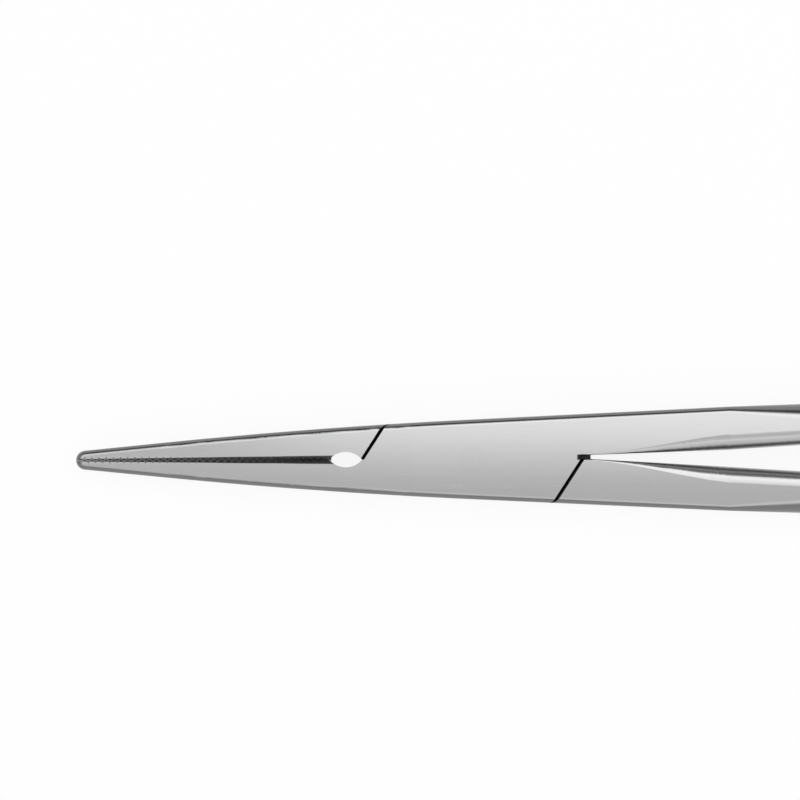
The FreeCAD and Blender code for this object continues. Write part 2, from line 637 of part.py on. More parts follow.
def ring(body, side):
    """The finger ring: a band ground round in narrow flats, swept round an oval."""
    spine = body.newObject("Sketcher::SketchObject", "ring_line")
    spine.AttachmentSupport = (origin_plane(body, "XY_Plane"), [""])
    spine.MapMode = "FlatFace"
    spine.AttachmentOffset = FreeCAD.Placement(
        FreeCAD.Vector(), FreeCAD.Rotation(FreeCAD.Vector(0, 0, 1), 1))
    spine.setExpression("AttachmentOffset.Base.x", "Sizes.ring_reach")
    spine.setExpression("AttachmentOffset.Base.y", f"{side} * Sizes.ring_offset")
    spine.setExpression("AttachmentOffset.Rotation.Yaw", f"{side} * Sizes.ring_tilt")
    # An oval of four arcs: its ends have their centres end_shift from the middle, its sides flank_shift.
    end_shift = "(Sizes.ring_length / 2 - Sizes.ring_end_round)"
    narrow = "(Sizes.ring_width / 2)"
    spare = f"({narrow} - Sizes.ring_end_round)"
    flank_shift = f"(({end_shift} * {end_shift} - {spare} * {spare}) / (2 * {spare}))"
    spine_outline(spine, end_shift, flank_shift, narrow)

    profile = body.newObject("Sketcher::SketchObject", "ring_band")
    profile.AttachmentSupport = (origin_plane(body, "XZ_Plane"), [""])
    profile.MapMode = "FlatFace"
    profile.AttachmentOffset = FreeCAD.Placement(
        FreeCAD.Vector(), FreeCAD.Rotation(FreeCAD.Vector(0, 1, 0), 1))
    profile.setExpression("AttachmentOffset.Base.x", "Sizes.ring_reach")
    profile.setExpression("AttachmentOffset.Base.z", f"{-side} * Sizes.ring_offset")
    profile.setExpression("AttachmentOffset.Rotation.Angle", f"{side} * Sizes.ring_tilt")
    sides = [(number + 0.5) * 360 / BAND_SIDES for number in range(BAND_SIDES)]
    draw(profile, [
        (f"Sizes.ring_length / 2 + Sizes.band_width / 2 * cos({around})",
         f"Sizes.band_thickness / 2 * sin({around})")
        for around in sides
    ])
    doc.recompute()
    swept = body.newObject("PartDesign::AdditivePipe", "finger_ring")
    swept.Profile = profile
    swept.Spine = (spine, [f"Edge{number}" for number in range(1, 5)])
    doc.recompute()


def spine_outline(sketch, end_shift, flank_shift, narrow):
    """Four tangent arcs; the first starts at the oval's far end."""
    flank_round = f"({narrow} + {flank_shift})"
    lean = f"atan2({flank_shift}; {end_shift})"
    join_x = f"({end_shift} + Sizes.ring_end_round * cos({lean}))"
    join_y = f"(Sizes.ring_end_round * sin({lean}))"
    draw(sketch, [
        (join_x, f"-{join_y}"),
        (join_x, join_y),
        (f"-{join_x}", join_y),
        (f"-{join_x}", f"-{join_y}"),
    ], {0: ("Sizes.ring_end_round", 1), 1: (flank_round, 1),
        2: ("Sizes.ring_end_round", 1), 3: (flank_round, 1)})


def ratchet(body, side):
    """The ratchet bar: it lies below the middle on the female half, above it on the male half."""
    half_gap = "Sizes.ratchet_gap / 2"
    root = "Sizes.ratchet_root"
    front = "(Sizes.ratchet_reach - Sizes.ratchet_length / 2)"
    rear = "(Sizes.ratchet_reach + Sizes.ratchet_length / 2)"
    outer_face = "Sizes.ratchet_face"
    plan = new_sketch(body, "ratchet_plan", "XY_Plane", f"{-side} * {outer_face}")
    draw(plan, [
        (front, f"{side} * {half_gap}"),
        (rear, f"{side} * {half_gap}"),
        (rear, f"{side} * {root}"),
        (front, f"{side} * {root}"),
    ])
    add(body, "PartDesign::Pad", "ratchet_bar", plan, Length="Sizes.ratchet_thickness",
        Reversed=side < 0)
    # One tooth gap: a steep face that holds and a long slope that slides.
    tooth = new_sketch(body, "ratchet_tooth", "YZ_Plane", "Sizes.ratchet_reach")
    top = f"{side} * (Sizes.ratchet_thickness - {outer_face})"
    crest = f"({half_gap} + Sizes.ratchet_land)"
    draw(tooth, [
        (f"{side} * {crest}", top),
        (f"{side} * ({crest} + Sizes.ratchet_lean)", f"{top} - {side} * Sizes.ratchet_depth"),
        (f"{side} * ({crest} + Sizes.ratchet_pitch)", top),
        (f"{side} * ({crest} + Sizes.ratchet_pitch)", f"{top} + {side} * {NOSE_MARGIN}"),
        (f"{side} * {crest}", f"{top} + {side} * {NOSE_MARGIN}"),
    ])
    gap = add(body, "PartDesign::Pocket", "tooth_gap", tooth, Length="Sizes.ratchet_length + 1",
              SideType="Symmetric")
    row = body.newObject("PartDesign::LinearPattern", "ratchet_teeth")
    row.Originals = [gap]
    row.Direction = (origin_plane(body, "Y_Axis"), [""])
    row.Reversed = side < 0
    row.setExpression("Length", "(Sizes.ratchet_teeth - 1) * Sizes.ratchet_pitch")
    row.setExpression("Occurrences", "Sizes.ratchet_teeth")
    body.Tip = row
    doc.recompute()


def build_pin():
    """The riveted pin: a round shaft whose ends are flared into the cheeks and ground flush."""
    body = new_body("pivot_pin")
    half = new_sketch(body, "half_section", "XZ_Plane")
    radius = "Sizes.pin_diameter / 2"
    flared = f"({radius} + Sizes.pin_flare)"
    neck = f"({HALF} - Sizes.pin_flare)"
    draw(half, [
        ("0", f"-{HALF}"),
        (flared, f"-{HALF}"),
        (radius, f"-{neck}"),
        (radius, neck),
        (flared, HALF),
        ("0", HALF),
    ])
    turned = body.newObject("PartDesign::Revolution", "turned")
    turned.Profile = half
    turned.ReferenceAxis = (half, ["V_Axis"])
    turned.Angle = 360
    doc.recompute()
    return body


def build_half(label, lock, side):
    """Joins the lock forging of a half with its shank, finger ring and ratchet bar."""
    rounded = round_inner_edges(f"{label}_rounded", lock, side)
    body = new_body(label, rounded)
    shank(body, side)
    ring(body, side)
    ratchet(body, side)
    return body


os.makedirs("parts", exist_ok=True)
pieces = [
    build_half("female_half", build_female(), 1),
    build_half("male_half", build_male(), -1),
    build_pin(),
]
for piece in pieces:
    piece.setExpression("Placement.Base.z", HALF)
doc.recompute()

failed = [item.Label for item in doc.Objects if "Invalid" in item.State or "Error" in item.State]
if failed:
    raise SystemExit(f"these features failed: {failed}")
for piece in pieces:
    shape = piece.Shape
    if shape.isNull() or not shape.isValid() or len(shape.Solids) != 1:
        raise SystemExit(f"{piece.Label} is not one valid solid")
    print(f"{piece.Label}: {shape.Volume:.2f} mm3")
for piece in pieces:
    piece.Shape.exportStep(f"parts/{piece.Label}.step")
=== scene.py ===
# %% [markdown]
# # Ligature forceps with a box lock
#
# This lesson dresses a small surgical forceps: two satin steel halves that turn about a pin hidden
# in a box lock. The solids come ready made, so the shapes are settled. What is left is the surface
# of the steel, the light that makes it read as steel, and the camera.

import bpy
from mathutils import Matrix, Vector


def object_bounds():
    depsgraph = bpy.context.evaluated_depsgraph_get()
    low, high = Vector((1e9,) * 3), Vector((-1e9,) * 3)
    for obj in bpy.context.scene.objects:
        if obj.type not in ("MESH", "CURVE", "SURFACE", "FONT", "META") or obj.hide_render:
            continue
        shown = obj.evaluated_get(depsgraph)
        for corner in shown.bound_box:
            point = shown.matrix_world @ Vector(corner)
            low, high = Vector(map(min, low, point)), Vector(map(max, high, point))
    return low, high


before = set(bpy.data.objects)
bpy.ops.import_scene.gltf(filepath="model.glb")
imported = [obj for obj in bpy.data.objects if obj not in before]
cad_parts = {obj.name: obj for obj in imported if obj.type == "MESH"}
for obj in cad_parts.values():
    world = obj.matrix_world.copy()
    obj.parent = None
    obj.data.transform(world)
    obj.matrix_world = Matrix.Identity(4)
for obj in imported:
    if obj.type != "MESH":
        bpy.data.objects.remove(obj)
solid_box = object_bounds()
print("pieces to dress:", ", ".join(sorted(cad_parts)))

# %% [markdown]
# ## Metres and millimetres
#
# Blender counts in metres, but the details of a forceps are easier to think of in millimetres. So
# places on the steel are given in millimetres from the pin, along the length (X) and across it (Y).
# Lamps, floor and camera stay in metres.

# %% Modules and millimetres
import math

import bmesh
import bpy
from mathutils import Matrix

MM_IN_A_METRE = 1000.0


def in_mm(corners):
    """Corners of a box in millimetres, rounded for reading."""
    return [tuple(round(c * MM_IN_A_METRE, 2) for c in corner) for corner in corners]


print("solid box, mm:", in_mm(solid_box))

# %% [markdown]
# ## Helpers for node trees
#
# A material is a graph of small steps. Written out in full it would be long to read, so a few
# helpers keep it short. One adds a node and fills in its inputs. The others are the steps that come
# up again and again.

# %% Add a node and fill in its inputs
def add_node(tree, kind, inputs=None, **settings):
    """Adds a node; an input is either a constant or a socket of another node."""
    node = tree.nodes.new(kind)
    for name, setting in settings.items():
        setattr(node, name, setting)
    for name, source in (inputs or {}).items():
        if isinstance(source, bpy.types.NodeSocket):
            tree.links.new(source, node.inputs[name])
        else:
            node.inputs[name].default_value = source
    return node


print("helper:", add_node.__name__)

# %% Steps of arithmetic, place and noise
def maths(tree, operation, first, second=0.0, clamp=False):
    """One step of arithmetic; returns its output."""
    node = add_node(tree, "ShaderNodeMath", {0: first, 1: second}, operation=operation, use_clamp=clamp)
    return node.outputs[0]


def vector_maths(tree, operation, inputs):
    """One step of arithmetic on three numbers at once; returns its output."""
    return add_node(tree, "ShaderNodeVectorMath", inputs, operation=operation).outputs[0]


def own_place(tree):
    """The place of a point on its own object, in metres, so that it moves with the object."""
    return add_node(tree, "ShaderNodeTexCoord").outputs["Object"]


def noise(tree, place, seed, scale, detail, roughness):
    """Smooth noise from 0 to 1; another seed gives another pattern."""
    node = add_node(tree, "ShaderNodeTexNoise", {
        "Vector": place, "W": seed, "Scale": scale, "Detail": detail, "Roughness": roughness,
    }, noise_dimensions="4D")
    return node.outputs["Fac"]


print("steps:", maths.__name__, vector_maths.__name__, own_place.__name__, noise.__name__)

# %% [markdown]
# ## Node groups
#
# An effect that more than one material needs is made once, as a group with named inputs and
# outputs, and each material places it with its own values. The nodes could be copied into every
# material instead, but then a correction would have to be made in every copy.

# %% Start a group, and place one
FLOAT = "NodeSocketFloat"
VECTOR = "NodeSocketVector"


def new_group(name, inputs, outputs):
    """inputs holds (name, kind, constant); outputs holds (name, kind)."""
    group = bpy.data.node_groups.new(name, "ShaderNodeTree")
    for socket_name, kind, constant in inputs:
        socket = group.interface.new_socket(socket_name, in_out="INPUT", socket_type=kind)
        socket.default_value = constant
    for socket_name, kind in outputs:
        group.interface.new_socket(socket_name, in_out="OUTPUT", socket_type=kind)
    start = group.nodes.new("NodeGroupInput")
    end = group.nodes.new("NodeGroupOutput")
    return group, start.outputs, end.inputs


def use_group(tree, group, inputs):
    """Places a group in a tree with its own values; returns its outputs."""
    return add_node(tree, "ShaderNodeGroup", inputs, node_tree=group).outputs


print("group helpers:", new_group.__name__, use_group.__name__)

# %% [markdown]
# ## Satin grain
#
# Such an instrument is finished on a fine belt that runs along its length. It leaves hair-thin
# lines, all nearly parallel to the jaws and shanks, and they soften every reflection. An anisotropic
# shader would stretch the reflections but show no single line. Noise that is stretched along the
# length gives the lines themselves. Two layers, one fine and one broad, keep them from looking like
# a printed pattern.

# %% Group: polish lines along the length
FINE_SHARE = 0.6
BROAD_SCALE = 0.23
NOISE_MIDDLE = 0.5


def make_polish_lines():
    """Height and shade of the fine lines that a polishing belt leaves."""
    group, given, out = new_group(
        "polish_lines",
        [("Lines per mm", FLOAT, 9.0), ("Length in mm", FLOAT, 6.0), ("Seed", FLOAT, 0.0)],
        [("Height", FLOAT), ("Shade", FLOAT)],
    )
    across = maths(group, "MULTIPLY", given["Lines per mm"], MM_IN_A_METRE)
    along = maths(group, "DIVIDE", MM_IN_A_METRE, given["Length in mm"])
    stretch = add_node(group, "ShaderNodeCombineXYZ", {"X": along, "Y": across, "Z": across}).outputs[0]
    drawn_out = vector_maths(group, "MULTIPLY", {0: own_place(group), 1: stretch})
    fine = noise(group, drawn_out, given["Seed"], scale=1.0, detail=3.0, roughness=0.6)
    broad = noise(group, drawn_out, given["Seed"], scale=BROAD_SCALE, detail=2.0, roughness=0.5)
    fine = maths(group, "MULTIPLY", fine, FINE_SHARE)
    broad = maths(group, "MULTIPLY", broad, 1.0 - FINE_SHARE)
    both = maths(group, "ADD", fine, broad)
    group.links.new(both, out["Height"])
    group.links.new(maths(group, "SUBTRACT", both, NOISE_MIDDLE), out["Shade"])
    return group


polish_lines = make_polish_lines()
print("group:", polish_lines.name)

# %% [markdown]
# ## Small marks of use
#
# Even a new instrument has been tumbled with others. Pin-prick dents and a few short hairlines
# catch the light. They could be painted on by hand, one by one. A cell pattern with only its very
# centres kept gives the dents on all faces at once, and noise, stretched and turned, gives hairlines
# that don't follow the polish.

# %% Group: pin-prick dents and stray hairlines
HAIRLINE_TURN = math.radians(17)
HAIRLINE_STRETCH = (120.0, 2600.0, 900.0)
HAIRLINE_FINENESS = 60.0


def make_use_marks():
    """A mask of tiny dents and a mask of stray hairlines."""
    group, given, out = new_group(
        "use_marks",
        [("Dents per mm", FLOAT, 0.45), ("Dent size", FLOAT, 0.09), ("Seed", FLOAT, 0.0)],
        [("Dents", FLOAT), ("Hairlines", FLOAT)],
    )
    place = own_place(group)
    cells = add_node(group, "ShaderNodeTexVoronoi", {
        "Vector": place, "W": given["Seed"], "Randomness": 1.0,
        "Scale": maths(group, "MULTIPLY", given["Dents per mm"], MM_IN_A_METRE),
    }, voronoi_dimensions="4D", feature="F1")
    from_centre = maths(group, "DIVIDE", cells.outputs["Distance"], given["Dent size"])
    group.links.new(maths(group, "SUBTRACT", 1.0, from_centre, clamp=True), out["Dents"])

    turned = add_node(group, "ShaderNodeMapping", {
        "Vector": place, "Rotation": (0.0, 0.0, HAIRLINE_TURN), "Scale": HAIRLINE_STRETCH,
    }).outputs[0]
    streaks = noise(group, turned, given["Seed"], scale=1.0, detail=1.0, roughness=0.4)
    from_middle = maths(group, "ABSOLUTE", maths(group, "SUBTRACT", streaks, NOISE_MIDDLE))
    thinned = maths(group, "MULTIPLY", from_middle, HAIRLINE_FINENESS)
    group.links.new(maths(group, "SUBTRACT", 1.0, thinned, clamp=True), out["Hairlines"])
    return group


use_marks = make_use_marks()
print("group:", use_marks.name)

# %% [markdown]
# ## Crowned faces
#
# The belt gives way a little at the edges, so a ground face is never quite flat. It falls off by a
# few degrees towards both long edges, and a highlight slides across it instead of filling it. The
# solids could be domed, but that costs many faces for little more than a tenth of a millimetre. A
# height that only leans the normals does the same to the reflections. It stops growing outside the
# lock, so that the rings, which stand far from the middle, aren't tilted by it.

# %% Group: crown across the width
CROWN_HALF_WIDTH = 0.0045


def make_crown():
    """Height of a slight dome across Y; Slope is its lean, in radians, one mm off the middle."""
    group, given, out = new_group("crown", [("Slope", FLOAT, 0.02)], [("Height in m", FLOAT)])
    across = add_node(group, "ShaderNodeSeparateXYZ", {0: own_place(group)}).outputs["Y"]
    across = maths(group, "MINIMUM", maths(group, "ABSOLUTE", across), CROWN_HALF_WIDTH)
    square = maths(group, "MULTIPLY", across, across)
    curve = maths(group, "MULTIPLY", given["Slope"], -MM_IN_A_METRE / 2)
    group.links.new(maths(group, "MULTIPLY", square, curve), out["Height in m"])
    return group


crown = make_crown()
print("group:", crown.name)

# %% [markdown]
# ## Painted shade in the recesses
#
# The serrations and the crotch of the shanks lie in shade between the two halves, so the steel there
# is darkened as painted shade, the crotch nearly to black. A belt can't reach into them either, so
# they are also a little rougher. Such places could be painted on, point by point. A box with soft
# sides, seen from above and fixed to the steel, needs no painting and moves with the half that it is on.

# %% Group: mask of a box with soft sides
def make_soft_box():
    """1 inside a box, falling to 0 over Softness outside it; all in mm, whatever the height."""
    group, given, out = new_group(
        "soft_box",
        [("Middle", VECTOR, (0.0, 0.0, 0.0)), ("Half size", VECTOR, (1.0, 1.0, 0.0)),
         ("Softness", FLOAT, 0.1)],
        [("Mask", FLOAT)],
    )
    millimetres = vector_maths(group, "SCALE", {0: own_place(group), "Scale": MM_IN_A_METRE})
    from_middle = vector_maths(group, "SUBTRACT", {0: millimetres, 1: given["Middle"]})
    from_middle = vector_maths(group, "ABSOLUTE", {0: from_middle})
    outside = vector_maths(group, "SUBTRACT", {0: from_middle, 1: given["Half size"]})
    axes = add_node(group, "ShaderNodeSeparateXYZ", {0: outside}).outputs
    fall = maths(group, "DIVIDE", maths(group, "MAXIMUM", axes["X"], axes["Y"]), given["Softness"])
    group.links.new(maths(group, "SUBTRACT", 1.0, fall, clamp=True), out["Mask"])
    return group


soft_box = make_soft_box()
print("group:", soft_box.name)

# %% Place a soft box by its ends
def box_mask(tree, along, across, softness):
    """Mask of a soft box; along and across hold its two ends in X and in Y, in mm."""
    middle = (sum(along) / 2, sum(across) / 2, 0.0)
    half_size = ((along[1] - along[0]) / 2, (across[1] - across[0]) / 2, 0.0)
    inputs = {"Middle": middle, "Half size": half_size, "Softness": softness}
    return use_group(tree, soft_box, inputs)["Mask"]


print("helper:", box_mask.__name__)

# %% [markdown]
# ## Rounded edges
#
# The long edges of the real steel are rolled over, and such a round mirrors the dim room near the
# floor, which draws a dark line along it. Lamps alone could give that line, but they would darken
# other faces too. So a mask finds the rounds by how far the surface leans from level, and that dark
# reflection is painted into them: they are made a little darker than the faces.

# %% Group: mask of the rounded edges
FALL_IN_DEGREES = 3.0


def make_rounded_edge():
    """1 where the surface leans between the two angles from level, in degrees, else 0."""
    group, given, out = new_group(
        "rounded_edge",
        [("From", FLOAT, 35.0), ("To", FLOAT, 80.0), ("Softness", FLOAT, 8.0)],
        [("Mask", FLOAT)],
    )
    normal = add_node(group, "ShaderNodeTexCoord").outputs["Normal"]
    upward = maths(group, "ABSOLUTE", add_node(group, "ShaderNodeSeparateXYZ", {0: normal}).outputs["Z"])
    lean = maths(group, "DEGREES", maths(group, "ARCCOSINE", upward))
    past_start = maths(group, "SUBTRACT", lean, given["From"])
    before_end = maths(group, "SUBTRACT", given["To"], lean)
    rise = maths(group, "DIVIDE", past_start, given["Softness"], clamp=True)
    fall = maths(group, "DIVIDE", before_end, FALL_IN_DEGREES, clamp=True)
    group.links.new(maths(group, "MULTIPLY", rise, fall), out["Mask"])
    return group


rounded_edge = make_rounded_edge()
print("group:", rounded_edge.name)

# %% [markdown]
# ## Tone of the steel
#
# The colour of satin steel is nearly one grey. What varies is how light it is: a little with the grain
# and more in the dents, and it is lowered further by painted shade in the serrations and the crotch and
# by a painted dark reflection along the rounded edges. Each could have a colour of its own. One grey
# times one level keeps the steel a single metal. The grain moves that level up and down by a hair, and
# each of the other effects lowers it by its share.

# %% Serrated band and crotch
TIP = solid_box[0].x * MM_IN_A_METRE
TEETH_BEHIND_TIP = 0.3
TEETH_END = -12.0
TEETH_ALONG = (TIP + TEETH_BEHIND_TIP, TEETH_END)
TEETH_ACROSS = (-0.24, 0.24)
TEETH_SOFTNESS = 0.06
CROTCH_ALONG = (8.78, 10.02)
CROTCH_ACROSS = (-0.03, 0.37)
CROTCH_SOFTNESS = 0.05


def shaded_recesses(tree):
    """Masks of the serrated band and of the crotch, which get painted shade and a higher roughness."""
    teeth = box_mask(tree, TEETH_ALONG, TEETH_ACROSS, TEETH_SOFTNESS)
    crotch = box_mask(tree, CROTCH_ALONG, CROTCH_ACROSS, CROTCH_SOFTNESS)
    return teeth, crotch


print("serrated band, mm:", round(TEETH_ALONG[1] - TEETH_ALONG[0], 1))

# %% Painted dark reflection along the rounded edges
OUTER_LEAN = {"From": 10.0, "To": 88.0, "Softness": 14.0}
INNER_LEAN = {"From": 32.0, "To": 88.0, "Softness": 12.0}
INNER_SHARE = 0.65
SHANKS_ALONG = (9.6, 60.4)
SHANKS_ACROSS = (-2.4, 2.4)
SHANKS_SOFTNESS = 0.3
STRAIGHT_ALONG = (-37.0, 47.0)
STRAIGHT_ACROSS = (-9.0, 9.0)
STRAIGHT_SOFTNESS = 10.0


def rim_reflection_mask(tree):
    """Mask of the painted dark reflection on the rounded edges: weaker between the shanks, and fading out
    towards the rings.
    """
    straight = box_mask(tree, STRAIGHT_ALONG, STRAIGHT_ACROSS, STRAIGHT_SOFTNESS)
    between = box_mask(tree, SHANKS_ALONG, SHANKS_ACROSS, SHANKS_SOFTNESS)
    outer = use_group(tree, rounded_edge, OUTER_LEAN)["Mask"]
    inner = use_group(tree, rounded_edge, INNER_LEAN)["Mask"]
    outer = maths(tree, "MULTIPLY", outer, maths(tree, "SUBTRACT", 1.0, between))
    inner = maths(tree, "MULTIPLY", inner, maths(tree, "MULTIPLY", between, INNER_SHARE))
    return maths(tree, "MULTIPLY", maths(tree, "ADD", outer, inner), straight)


print("dark line fades beyond, mm:", STRAIGHT_ALONG[1])

# %% Level of the grey
GRAIN_IN_TONE = 0.03
DENTS_DARKER = 0.7
# The serrations and the crotch are darkened as painted shade.
TEETH_PAINTED_SHADE = 0.10
CROTCH_PAINTED_SHADE = 0.92
# The rounded edges are darkened as a painted dark reflection.
RIM_PAINTED_REFLECTION = 0.64


def tone(tree, lines, marks, teeth, crotch):
    """How light the steel is, as a share of its colour, with painted shade and a painted dark reflection in
    it.
    """
    level = maths(tree, "ADD", maths(tree, "MULTIPLY", lines["Shade"], GRAIN_IN_TONE), 1.0)
    darker = (
        (marks["Dents"], DENTS_DARKER),
        (teeth, TEETH_PAINTED_SHADE),
        (crotch, CROTCH_PAINTED_SHADE),
        (rim_reflection_mask(tree), RIM_PAINTED_REFLECTION),
    )
    for mask, share in darker:
        level = maths(tree, "SUBTRACT", level, maths(tree, "MULTIPLY", mask, share))
    return level


print("level in the crotch:", round(1.0 - CROTCH_PAINTED_SHADE, 2))

# %% [markdown]
# ## Roughness and relief
#
# Polish lines, hairlines and the skin in the recesses blur a reflection a little more than the bare
# face does, so they are added to the roughness. The same lines, the dents and the crown become a
# height. Real displacement would need millions of faces for marks of less than a micrometre. A Bump
# node leans the normals instead, which is all that shows at this size.

# %% How rough the steel is
GRAIN_IN_ROUGHNESS = 0.08
HAIRLINES_IN_ROUGHNESS = 0.03
SKIN_IN_ROUGHNESS = 0.2


def roughness_of(tree, polished, lines, marks, teeth, crotch):
    """Roughness of the polished face, raised by its marks and by the skin in the recesses."""
    rough = maths(tree, "ADD", maths(tree, "MULTIPLY", lines["Shade"], GRAIN_IN_ROUGHNESS), polished)
    hairlines = maths(tree, "MULTIPLY", marks["Hairlines"], HAIRLINES_IN_ROUGHNESS)
    skin = maths(tree, "MULTIPLY", maths(tree, "MAXIMUM", teeth, crotch), SKIN_IN_ROUGHNESS)
    return maths(tree, "ADD", maths(tree, "ADD", rough, hairlines), skin, clamp=True)


print("rougher in the recesses by:", SKIN_IN_ROUGHNESS)

# %% Relief of the grain, the marks and the crown
GRAIN_DEPTH = 0.0000001
DENTS_IN_GRAIN_DEPTHS = 4.0
HAIRLINES_IN_GRAIN_DEPTHS = 0.1
CROWN_SLOPE = 0.027


def relief_normal(tree, lines, marks):
    """Normal of the surface with its grain, marks and crown."""
    dents = maths(tree, "MULTIPLY", marks["Dents"], DENTS_IN_GRAIN_DEPTHS)
    hairlines = maths(tree, "MULTIPLY", marks["Hairlines"], HAIRLINES_IN_GRAIN_DEPTHS)
    height = maths(tree, "SUBTRACT", maths(tree, "SUBTRACT", lines["Height"], dents), hairlines)
    dome = use_group(tree, crown, {"Slope": CROWN_SLOPE})["Height in m"]
    relief = maths(tree, "ADD", maths(tree, "MULTIPLY", height, GRAIN_DEPTH), dome)
    return add_node(tree, "ShaderNodeBump", {"Height": relief, "Strength": 1.0, "Distance": 1.0}).outputs[0]


print("depth of the grain, micrometres:", round(GRAIN_DEPTH * 1e6, 2))

# %% [markdown]
# ## Satin steel
#
# All three pieces are bare stainless steel. Metallic is 1 and the roughness is moderate, because a
# satin belt finish blurs a reflection without hiding it. One material would do for all three. Each
# piece gets its own seed instead, so that no dent or line runs on from one piece into the next, and
# the pin, which is cut from drawn rod, gets a slightly darker grey.

# %% Material: satin steel
POLISH = {"Lines per mm": 16.0, "Length in mm": 14.0}
PIN_PRICKS = {"Dents per mm": 0.34, "Dent size": 0.045}
HALF_GREY = (0.57, 0.57, 0.575)
HALF_ROUGHNESS = 0.24
PIN_GREY = (0.56, 0.56, 0.565)
PIN_ROUGHNESS = 0.25


def satin_steel(name, colour, roughness, seed):
    """Bare stainless steel with polish lines, tiny dents and hairlines, painted shade in the recesses and a
    painted dark reflection on the rounded edges.
    """
    material = bpy.data.materials.new(name)
    material.use_nodes = True
    tree = material.node_tree
    shader = tree.nodes["Principled BSDF"]
    shader.inputs["Metallic"].default_value = 1.0

    lines = use_group(tree, polish_lines, {**POLISH, "Seed": seed})
    marks = use_group(tree, use_marks, {**PIN_PRICKS, "Seed": seed})
    teeth, crotch = shaded_recesses(tree)
    grey = add_node(tree, "ShaderNodeRGB").outputs[0]
    grey.default_value = (*colour, 1.0)
    level = tone(tree, lines, marks, teeth, crotch)
    toned = vector_maths(tree, "SCALE", {0: grey, "Scale": level})
    tree.links.new(toned, shader.inputs["Base Color"])

    rough = roughness_of(tree, roughness, lines, marks, teeth, crotch)
    tree.links.new(rough, shader.inputs["Roughness"])
    tree.links.new(relief_normal(tree, lines, marks), shader.inputs["Normal"])
    return material


female_steel = satin_steel("female_satin_steel", HALF_GREY, HALF_ROUGHNESS, seed=0.0)
male_steel = satin_steel("male_satin_steel", HALF_GREY, HALF_ROUGHNESS, seed=4.0)
pin_steel = satin_steel("pin_satin_steel", PIN_GREY, PIN_ROUGHNESS, seed=8.0)
print("materials:", female_steel.name, male_steel.name, pin_steel.name)

# %% Put the steels on the solids
def dress(node, material):
    """Gives a carried-over solid its material."""
    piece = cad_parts[node]
    for slot in piece.material_slots:
        slot.material = material
    print(node, "has", len(piece.data.polygons), "faces and", len(piece.material_slots), "slot")


dress("female_half", female_steel)
dress("male_half", male_steel)
dress("pivot_pin", pin_steel)

# %% [markdown]
# ## Paper
#
# The instrument lies on plain white paper. Paper that is only lit comes out grey wherever the light
# is soft, and more light would spoil the steel. So the paper also glows, but only where the camera
# sees it or the steel mirrors it. A tenth of its white still comes from the lamps, and that tenth
# keeps the soft shadow. In the slit between the closed jaws and in the crotch no light gets down to
# the paper, so there the glow is taken off, and where the camera sees it the paper's colour is
# darkened as well, a painted shade. Ambient occlusion finds the steel over the paper, so the glow and
# the painted shade go away as the jaws open, but for a thin line close beside the jaw that stays.

# %% Where the paper lies at the bottom of a slit
SLIT_MARGIN = 0.2
SLIT_ACROSS = (-0.5, 0.5)
CROTCH_SLIT_ALONG = (8.73, 9.97)
CROTCH_SLIT_ACROSS = (-0.4, 0.6)
SLIT_SOFTNESS = 0.05
STEEL_WITHIN = 0.004
AO_SAMPLES = 8
SHUT_GAIN = 8.0


def inside_a_slit(tree):
    """1 on the strip of paper under the closed jaws or in the crotch, where steel is near, else 0."""
    slit_along = (TEETH_ALONG[0] - SLIT_MARGIN, TEETH_ALONG[1] + SLIT_MARGIN)
    jaws = box_mask(tree, slit_along, SLIT_ACROSS, SLIT_SOFTNESS)
    crotch = box_mask(tree, CROTCH_SLIT_ALONG, CROTCH_SLIT_ACROSS, SLIT_SOFTNESS)
    around = add_node(tree, "ShaderNodeAmbientOcclusion", {"Distance": STEEL_WITHIN}, samples=AO_SAMPLES)
    covered = maths(tree, "SUBTRACT", 1.0, around.outputs["AO"])
    shut = maths(tree, "MULTIPLY", covered, SHUT_GAIN, clamp=True)
    return maths(tree, "MULTIPLY", maths(tree, "MAXIMUM", jaws, crotch), shut)


print("slit between the jaws, mm:", round(TEETH_ALONG[1] - TEETH_ALONG[0] + 2 * SLIT_MARGIN, 1))

# %% Material: white paper
PAPER_WHITE = 0.95
PAPER_ROUGHNESS = 0.9
SLIT_PAINTED_SHADE = 0.65
GLOW = 0.90


def white_paper():
    """Matt white paper that glows where it is seen or mirrored; at the bottom of a slit it doesn't glow and
    gets painted shade.
    """
    material = bpy.data.materials.new("white_paper")
    material.use_nodes = True
    tree = material.node_tree
    paper = tree.nodes["Principled BSDF"]
    paper.inputs["Roughness"].default_value = PAPER_ROUGHNESS
    paper.inputs["Specular IOR Level"].default_value = 0.0
    paper.inputs["Emission Strength"].default_value = 1.0

    rays = add_node(tree, "ShaderNodeLightPath").outputs
    seen = maths(tree, "MAXIMUM", rays["Is Camera Ray"], rays["Is Glossy Ray"])
    seen = maths(tree, "MAXIMUM", seen, rays["Is Transmission Ray"])
    hidden = inside_a_slit(tree)
    glow = maths(tree, "MULTIPLY", seen, maths(tree, "SUBTRACT", 1.0, hidden))
    glow = maths(tree, "MULTIPLY", glow, GLOW)
    tree.links.new(glow, paper.inputs["Emission Color"])

    # Painted shade: where the camera sees the paper at the bottom of a slit, its colour is darkened.
    darker = maths(tree, "MULTIPLY", maths(tree, "MULTIPLY", rays["Is Camera Ray"], hidden), SLIT_PAINTED_SHADE)
    white = maths(tree, "SUBTRACT", PAPER_WHITE, darker)
    lit_share = maths(tree, "SUBTRACT", 1.0, glow)
    tree.links.new(maths(tree, "MULTIPLY", white, lit_share), paper.inputs["Base Color"])
    return material


paper_material = white_paper()
print("material:", paper_material.name)

